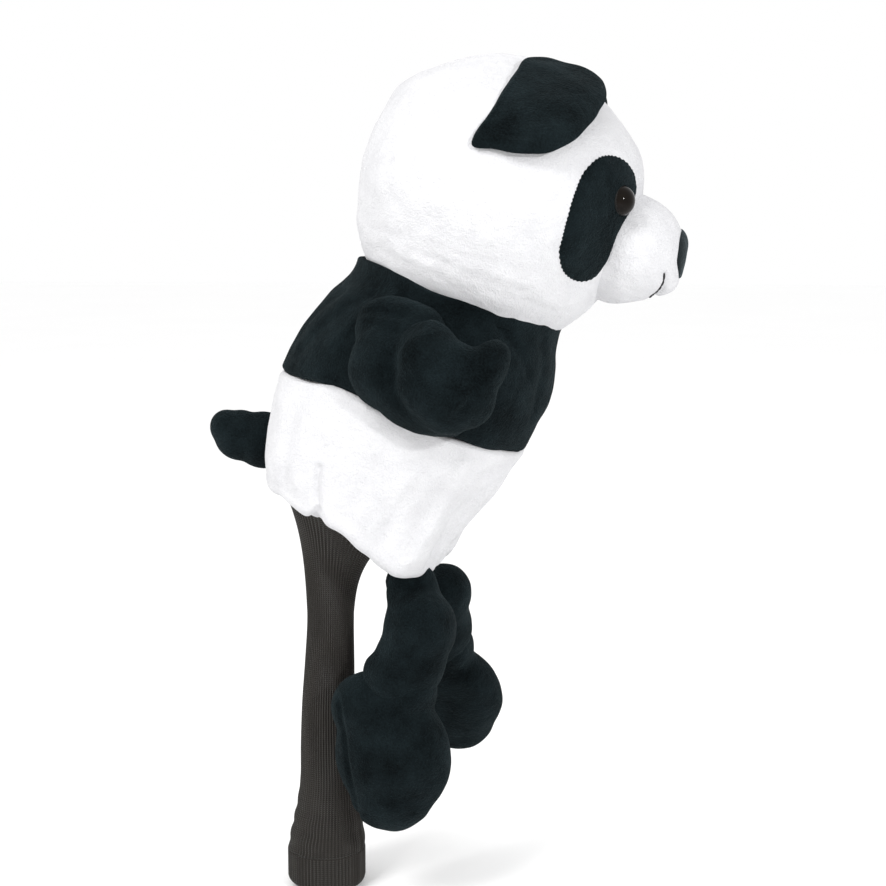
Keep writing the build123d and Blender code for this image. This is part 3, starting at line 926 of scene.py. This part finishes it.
# %% Belly
ROLL, ROLL_BEND = 6.5, radians(125)
MOUTH_SQUARE = 2.3
HEM = np.array(
    [
        (-180, 209.0), (-150, 209.0), (-134, 208.5), (-120, 208.0), (-101, 207.5), (-88, 205.5),
        (-76, 200.5), (-66, 196.5), (-50, 193.0), (-34, 192.5), (-19, 194.5), (-6, 202.5),
        (5, 203.0), (16, 194.0), (27, 192.6), (42, 192.8), (58, 194.0), (66, 195.9), (76, 200.5),
        (88, 206.7), (101, 208.4), (120, 208.5), (134, 210.5), (150, 210.0), (180, 209.0),
    ]
)  # fmt: skip


def hem_up(turn):
    """The lowest level of the roll, with its two notches."""
    level = through(HEM, degrees(-turn))[0]
    return level + 5.2 * about(turn, 107, 4.5) + 4.5 * about(turn, -104, 4.0)


def belly_place(turn, share, inset=0.0):
    top, low = seam_up(turn), hem_up(turn) + inset
    roll_start, roll_end = 0.62, 0.8
    edge = low + ROLL
    if share < roll_start:
        up = top + (edge - top) * share / roll_start
        return body_point(turn, up, inset + TUCK * float(bell(top - up, TUCK_WIDTH)))
    rim = body_point(turn, edge, inset)
    c, s = cos(turn), sin(turn)
    reach = (abs(c) ** MOUTH_SQUARE + abs(s) ** MOUTH_SQUARE) ** (-1 / MOUTH_SQUARE)
    across, sideways = MOUTH_HALF
    mouth = Vector((MOUTH.x + across * c * reach, sideways * s * reach, 0))
    mouth.z = HEM_UP - (mouth.x - HEM_MIDDLE) * sin(HEM_TILT) / cos(HEM_TILT) + 2 + inset
    inward = (mouth - rim) * Vector((1, 1, 0))
    inward.normalize()
    bend = ROLL_BEND * min((share - roll_start) / (roll_end - roll_start), 1)
    spot = rim + inward * (ROLL * (1 - cos(bend))) - UP * (ROLL * sin(bend))
    if share < roll_end:
        return spot
    t = (share - roll_end) / (1 - roll_end)
    return spot.lerp(mouth, t) + UP * (4 * t * (1 - t))


belly = tube(320, 120, belly_place)
rumple(belly, 34, 3.0, 31)
rumple(belly, 12, 0.8, 32)
BELLY_FOLDS = (
    # turns and levels, depth (a ridge below 0), width
    (((107, 214), (108, 222), (110, 231), (111, 238)), 3.0, 2.2),
    (((52, 262), (47, 244), (45, 226), (50, 208), (56, 197)), -2.4, 5),
    (((34, 258), (31, 236), (30, 214), (32, 203)), 3.0, 6.5),
    (((16, 262), (14, 240), (17, 218)), -1.2, 4),
    (((83, 262), (87, 240), (90, 218)), 1.2, 5),
    (((134, 262), (132, 240), (128, 218)), 1.3, 5),
    (((66, 250), (68, 228), (70, 208)), 1.0, 4),
)
for fall, depth, width in BELLY_FOLDS:
    fold(belly, fall, depth, width)
for turn in (-27, -17, -8, 0, 9, 18, 27):
    path = [body_point(radians(turn), up) for up in (196, 206, 216, 224)]
    press(belly, path, 1.5 + 0.3 * (turn % 4), 1.6)
piece(belly, "belly", finish="white_plush", solids=("belly_panel", "body_padding"))

# %% Lining
LINING_IN = 6.0
lining = tube(160, 60, lambda turn, share: belly_place(turn, share, LINING_IN))
piece(lining, "pouch_lining", finish="lining", solids=("lining_pouch",))

# %% [markdown]
# Cloth has two sides. The chest, the belly and the lining are so far a single skin each, so a
# Solidify modifier gives each its thickness, inwards.

# %% Thickness of the cloth
for name, thick in (("chest", 2.4), ("belly", 2.4), ("pouch_lining", 0.6)):
    cloth = bpy.data.objects[name].modifiers.new("cloth", "SOLIDIFY")
    cloth.thickness = thick * MM
    cloth.offset = -1
print("cloth given its thickness")

# %% [markdown]
# ## Arms
# Each arm hangs from the shoulder, bends at the elbow and folds its mitten up against the
# chest. The mitten ends in a broad paw and a smaller thumb, with a valley between them. Lumps of
# stuffing set that pose: shoulder, upper arm, elbow, palm, paw and thumb. The skin
# is then creased where the cover folds at the elbow, and lifted along the seam ridge down the
# palm. The side that lies against the body is kept just clear of it.

# %% Arms
ARM_LUMPS = (
    ((-51, -62, 317), (27, 12, 20), 8),
    ((-56, -68, 300), (18.5, 14, 22), -10),
    ((-34, -71, 290), (29, 15, 16), 10),
    ((-22, -80, 301), (27, 14, 22), 0),
    ((-36, -81, 315), (16, 13.5, 17), 0),
    ((-19, -79, 314), (12, 12, 12), 0),
    ((-6, -79, 316), (11, 11.5, 17.5), 12),
)
ARM_SEAMS = (
    # path on the outside of the arm, depth, width
    (((-44, -90, 331), (-51, -86, 321), (-53, -84, 309), (-51, -84, 298)), 2.8, 4.6),
    (((-18, -90, 332), (-19, -92, 324), (-21, -94, 316)), 3.4, 3.6),
    (((-33, -97, 306), (-30, -97, 296), (-26, -96, 288), (-22, -93, 282)), -2.4, 2.4),
    (((-10, -93, 314), (-11, -94, 303), (-16, -95, 291), (-22, -93, 282)), -2.4, 2.4),
    (((-24, -97, 309), (-21, -97, 300), (-21, -96, 291)), 2.0, 3.0),
    (((-52, -84, 300), (-45, -86, 290), (-36, -88, 283), (-26, -90, 279)), 1.6, 3.0),
    (((-78, -66, 322), (-66, -70, 327), (-54, -72, 328)), 1.8, 3.0),
    (((-38, -75, 337), (-44, -80, 331), (-48, -82, 325)), 2.2, 3.0),
)


def clear_of_body(draft, gap):
    """Move any point that is inside the body straight out to its side."""
    for vertex in draft.verts:
        back, front, width, square = through(BODY, vertex.co.z)
        along = abs((vertex.co.x - (back + front) / 2) / ((front - back) / 2))
        if along < 1:
            side = -width * (1 - along**square) ** (1 / square) - gap
            vertex.co.y = min(vertex.co.y, side)
    draft.normal_update()


for side, mirror in SIDES.items():
    arm = stuffed(ARM_LUMPS, skin=1.3, ease=22)
    for path, depth, width in ARM_SEAMS:
        press(arm, path, depth, width)
    rumple(arm, 16, 1.5, 41)
    rumple(arm, 7, 0.4, 42)
    clear_of_body(arm, 0.8)
    shoulder = LEANING @ mirror @ Vector((-37, -58.5, 334))
    below = LEANING @ mirror @ Vector((-37, -62, 322))
    piece(
        arm,
        f"{side}_arm_soft",
        LEANING @ mirror,
        body=("cover", f"{side}_arm", shoulder, below),
        solids=(f"{side}_arm_cover", f"{side}_arm_stuffing"),
    )

# %% [markdown]
# ## Legs and feet
# The legs are limp stuffed tubes, sewn under the belly, and the feet hang from them with the
# toes down. A leg is lumps from the hip to the ankle, a little narrower at the top. A foot
# is a flattened egg, with a neck that reaches up round the ankle, and its sole is a
# separate cutting, so a seam is pressed in all round behind the heel and toe. The far leg
# swings forward and out. It is the same draft, turned about the same joints as in the frame.

# %% Legs and feet
HIP = Vector((52, -31.5, 160))
ANKLE = Vector((45.8, -31.5, 130.7))
FOOT = Vector((36.3, -31.5, 88.7))
FOOT_TILT = radians(-8)
LEG_LUMPS = (
    ((49, -24, 176), (15, 11, 19), 0),
    ((53, -31, 157), (20.5, 18.5, 24), 8),
    ((48.5, -31.5, 141), (20, 18, 23), 6),
    ((42, -31.5, 131), (21, 17.5, 17), 10),
)
KNEE = ((62, -31.5, 162), (16, 15, 17), 0)
FOOT_LUMPS = (
    ((46, -31.5, 124), (17.5, 16, 18), 0),
    ((29, -31.5, 111), (25, 17, 22), 15),
    ((38.5, -31.5, 87), (32.5, 19.5, 37), -8),
    ((38, -31.5, 66), (24, 16.5, 23), -4),
)
SOLE_IN = 21.5
INNER_SIDE, INNER_EASE = -17.5, 1.2  # the foot's side by the sock is flattened to clear it
PAIR_POSE = {
    "right": (Matrix.Identity(4), Matrix.Identity(4)),
    "left": (
        Matrix.Translation(HIP)
        @ Matrix.Rotation(radians(27), 4, -FORE)
        @ Matrix.Rotation(radians(22), 4, -SIDE)
        @ Matrix.Translation(-HIP),
        Matrix.Translation(ANKLE)
        @ Matrix.Rotation(radians(-10), 4, -SIDE)
        @ Matrix.Translation(-ANKLE),
    ),
}

for side, mirror in SIDES.items():
    swing, foot_swing = PAIR_POSE[side]
    leg_axes = UPRIGHT @ mirror @ swing
    lumps = LEG_LUMPS if side == "right" else (*LEG_LUMPS, KNEE)
    leg = stuffed(lumps, skin=1.4, ease=60)
    rumple(leg, 22, 0.9, 51)
    rumple(leg, 8, 0.35, 52)
    piece(
        leg,
        f"{side}_leg_soft",
        leg_axes,
        body=("cover", f"{side}_leg", leg_axes @ (HIP + UP * 16), leg_axes @ (HIP - UP * 4)),
        solids=(f"{side}_leg_cover", f"{side}_leg_stuffing"),
    )
    foot = stuffed(FOOT_LUMPS, skin=1.4, ease=40)
    skin = points_of(foot)
    toes = np.array((cos(FOOT_TILT), 0, -sin(FOOT_TILT)))
    behind = (skin - np.array(FOOT)) @ toes + SOLE_IN
    inward = -np.array([v.normal for v in foot.verts])
    seam = 1.5 * bell(behind, 1.5) * ramp(124 - skin[:, 2], 0, 8)
    skin += inward * seam[:, None]
    skin[:, 1] = INNER_SIDE - INNER_EASE * np.logaddexp(0, (INNER_SIDE - skin[:, 1]) / INNER_EASE)
    move_to(foot, skin)
    rumple(foot, 20, 1.0, 53)
    rumple(foot, 8, 0.4, 54)
    foot_axes = leg_axes @ foot_swing
    piece(
        foot,
        f"{side}_foot_soft",
        foot_axes,
        body=(
            f"{side}_leg",
            f"{side}_foot",
            foot_axes @ (ANKLE + UP * 6),
            foot_axes @ (ANKLE - UP * 14),
        ),
        solids=(f"{side}_foot_cover", f"{side}_foot_sole", f"{side}_foot_stuffing"),
    )

# %% [markdown]
# ## Tail
# A stub of black plush, sewn to the back of the belly, blunt above and rounding off below. Its
# root is tucked inside the seam.

# %% Tail
TAIL_LUMPS = (
    ((-38, 0, 255), (17, 12, 16), 0),
    ((-51, 0, 257.5), (14.5, 11.5, 14.5), 0),
    ((-58.5, 0, 262), (9.5, 10, 10), 0),
)
tail = stuffed(TAIL_LUMPS, skin=1.2, ease=18)
rumple(tail, 14, 0.6, 61)
piece(
    tail,
    "tail_soft",
    UPRIGHT,
    body=("cover", "tail", (-0.036, 0, 0.257), (-0.046, 0, 0.257)),
    solids=("tail_cover", "tail_stuffing"),
)

# %% [markdown]
# ## Sock
# The sock is one knitted tube: a folded cuff at the club's grip end, a stretch that bunches up
# above it, a long straight run, and a flare that is sewn to the pouch's mouth. The ribs are real
# here, as small waves round the tube. They stay the same in number all the way up, so they
# fan out in the flare by themselves, as in real knitting. A UV map counts ribs and rows
# for the stitches. The bore inside stays round and clear for the shaft.

# %% Sock
RIBS, RIB_POINTS, RIB_HEIGHT, ROW = 66, 5, 0.42, 1.15
BORE_R = 11.1
SOCK_FOOT, FLARE_FROM = 20, 158
FLARE_MIDDLE, FLARE_HALF = -65, (36, 30)
FLARE_LAP = 12  # how far the flare reaches up inside the belly's roll
SOCK = np.array(
    (
        # height, middle fore of the axis, half width
        (10.0, -4.6, 21.8),
        (20.0, -4.4, 21.6),
        (32.0, -3.6, 20.2),
        (47.0, -2.6, 18.0),
        (62.0, -2.2, 16.4),
        (80.0, -2.5, 15.7),
        (106.0, -2.5, 14.6),
        (130.0, -1.6, 13.6),
        (152.0, -0.9, 12.8),
        (170.0, -0.6, 13.0),
    )
)


def into_frame(fore, side, up):
    """A point of the leaning axes, in upright millimetres."""
    return Matrix.Rotation(LEAN, 3, "Y") @ Vector((fore, side, up))


def sock_outer(turn, share):
    """The outside, from the pouch's mouth at share 0 down to the cuff at share 1."""
    flare = 0.3
    c, s = cos(turn), sin(turn)
    if share >= flare:
        height = FLARE_FROM + (SOCK_FOOT - FLARE_FROM) * (share - flare) / (1 - flare)
        middle, radius = through(SOCK, height)
        slack = float(ramp(70 - height, 0, 40))
        radius += 0.4 * slack * sin(height * 0.5 + 1.4 * sin(turn + height / 13))
        return Vector((middle + radius * c, radius * s, height))
    middle, radius = through(SOCK, FLARE_FROM)
    neck = Vector((middle + radius * c, radius * s, FLARE_FROM))
    fore, side = FLARE_MIDDLE + FLARE_HALF[0] * c, FLARE_HALF[1] * s
    up = HEM_UP - (fore - HEM_MIDDLE) * sin(HEM_TILT) / cos(HEM_TILT) + FLARE_LAP
    sewn = into_frame(fore, side, up)
    t = 1 - share / flare
    spread = t**3 * 0.8 + t * 0.2
    spot = neck.lerp(sewn, spread)
    spot.z = neck.z + (sewn.z - neck.z) * t
    return spot


def sock_place(turn, share):
    outside = 0.86
    if share < outside:
        spot = sock_outer(turn, share / outside)
        rib = RIB_HEIGHT * cos(RIBS * turn)
        return spot + Vector((cos(turn), sin(turn), 0)) * rib
    t = (share - outside) / (1 - outside)
    height = SOCK_FOOT + (FLARE_FROM - SOCK_FOOT) * float(ramp(t, 0.05, 1.0))
    return Vector((BORE_R * cos(turn), BORE_R * sin(turn), height))


def knit_map(draft):
    """Lay out a UV map that counts ribs round the tube and rows of stitches along it."""
    layer = draft.loops.layers.uv.new("knit")
    for face in draft.faces:
        first = atan2(face.verts[0].co.y, face.verts[0].co.x)
        for loop in face.loops:
            turn = atan2(loop.vert.co.y, loop.vert.co.x)
            turn += 2 * pi * round((first - turn) / (2 * pi))
            loop[layer].uv = (turn * RIBS / (2 * pi) + 0.5, loop.vert.co.z / ROW)


sock = tube(RIBS * RIB_POINTS, 190, sock_place)
knit_map(sock)
piece(sock, "sock", UPRIGHT, finish="sock_knit", solids=("knit_sock", "hem_binding"))

# %% [markdown]
# ## Cuff
# The cuff is the end of the same knitting, folded back on itself, so it is twice as thick, and
# its lower edge is a fold, not a cut. Its ribs sit a little coarser, because it is stretched
# over the layer below.

# %% Cuff
CUFF_TOP, CUFF_R, CUFF_MIDDLE, CUFF_FOLD = 21.5, 21.8, -4.4, 5.0
LIP_END, OUTER_END, FOLD_END = 0.12, 0.6, 0.85  # where each stretch of the path ends


def cuff_place(turn, share):
    """From the top, down the outside, round the fold and up the bore."""
    spoke = Vector((cos(turn), sin(turn), 0))
    outer = FORE * CUFF_MIDDLE + spoke * (CUFF_R + 0.5 * cos(RIBS * turn))
    bore = spoke * BORE_R
    top = CUFF_TOP - CUFF_FOLD * 0.3
    if share < LIP_END:
        t = share / LIP_END
        lip = bore.lerp(outer, 0.7 + 0.3 * sin(t * pi / 2))
        return lip + UP * (CUFF_TOP + (top - CUFF_TOP) * t)
    if share < OUTER_END:
        t = (share - LIP_END) / (OUTER_END - LIP_END)
        return outer + UP * (top + (CUFF_FOLD - top) * t)
    if share < FOLD_END:
        bend = pi * (share - OUTER_END) / (FOLD_END - OUTER_END)
        return bore.lerp(outer, (1 + cos(bend)) / 2) + UP * (CUFF_FOLD * (1 - sin(bend)))
    t = (share - FOLD_END) / (1 - FOLD_END)
    return bore + UP * (CUFF_FOLD + (CUFF_TOP - CUFF_FOLD) * t)


cuff = tube(RIBS * RIB_POINTS, 56, cuff_place)
knit_map(cuff)
piece(cuff, "cuff", UPRIGHT, finish="sock_knit", solids=("sock_cuff",))

# %% [markdown]
# ## Studio
# Plush shows its form in soft shadows only. So the light is a bright white room with one large
# lamp high on the left, over a pale floor, and a tiny lamp puts the glint in the eye. The camera
# stands a little above the toy's middle and in front of its side.

# %% Floor, lights and camera
scene = bpy.context.scene
scene.view_settings.view_transform = "Standard"

floor_draft = bmesh.new()
bmesh.ops.create_grid(floor_draft, x_segments=1, y_segments=1, size=8)
floor_mesh = bpy.data.meshes.new("floor")
floor_draft.to_mesh(floor_mesh)
floor_draft.free()
floor = bpy.data.objects.new("floor", floor_mesh)
floor.location.z = -0.001
scene.collection.objects.link(floor)


def pale(tree):
    speck = cloud(tree, object_place(tree), 0.4)
    return {"Base Color": between(tree, speck, (0.98, 0.98, 0.98), (1.0, 1.0, 1.0))}


finish("floor_paper", None, pale, **{"Roughness": 0.9, "Specular IOR Level": 0.1})
floor_mesh.materials.append(finishes["floor_paper"][0])

world = bpy.data.worlds.new("studio")
scene.world = world
world.use_nodes = True
room = world.node_tree.nodes["Background"]
room.inputs["Color"].default_value = (1.0, 1.0, 1.0, 1)
room.inputs["Strength"].default_value = 1.0


def lamp(name, place, aim, size, power, colour):
    data = bpy.data.lights.new(name, "AREA")
    data.size, data.energy, data.color = size, power, colour
    made = bpy.data.objects.new(name, data)
    made.location = place
    made.rotation_euler = (Vector(aim) - Vector(place)).to_track_quat("-Z", "Y").to_euler()
    scene.collection.objects.link(made)


MIDDLE = (0.0, 0.0, 0.28)
lamp("key", (-0.6, -0.95, 1.35), MIDDLE, 0.5, 13, (1.0, 0.995, 0.985))

TARGET = Vector((0.0627, 0.0, 0.2547))
AZIMUTH, ELEVATION, DISTANCE = radians(6), radians(8), 0.9
away = Vector((sin(AZIMUTH) * cos(ELEVATION), -cos(AZIMUTH) * cos(ELEVATION), sin(ELEVATION)))
camera = bpy.data.objects.new("camera", bpy.data.cameras.new("camera"))
camera.data.lens = 66.5
camera.location = TARGET + away * DISTANCE
camera.rotation_euler = (-away).to_track_quat("-Z", "Y").to_euler()
scene.collection.objects.link(camera)
scene.camera = camera

# The glint lamp stands where the lens mirrors it, from a spot high on its near side.
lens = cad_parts["right_eye_lens"]
eye = lens.matrix_world @ local_middle("right_eye_lens")
to_camera = (camera.location - eye).normalized()
outward = (eye - LEANING @ HEAD).normalized()
spot = (outward + to_camera * 2.4 + UP * 0.4).normalized()
to_lamp = spot * (2 * spot.dot(to_camera)) - to_camera
lamp("glint", eye + to_lamp * 0.85, eye, 0.06, 3.0, (1.0, 1.0, 1.0))
print("camera at", [round(x, 3) for x in camera.location])
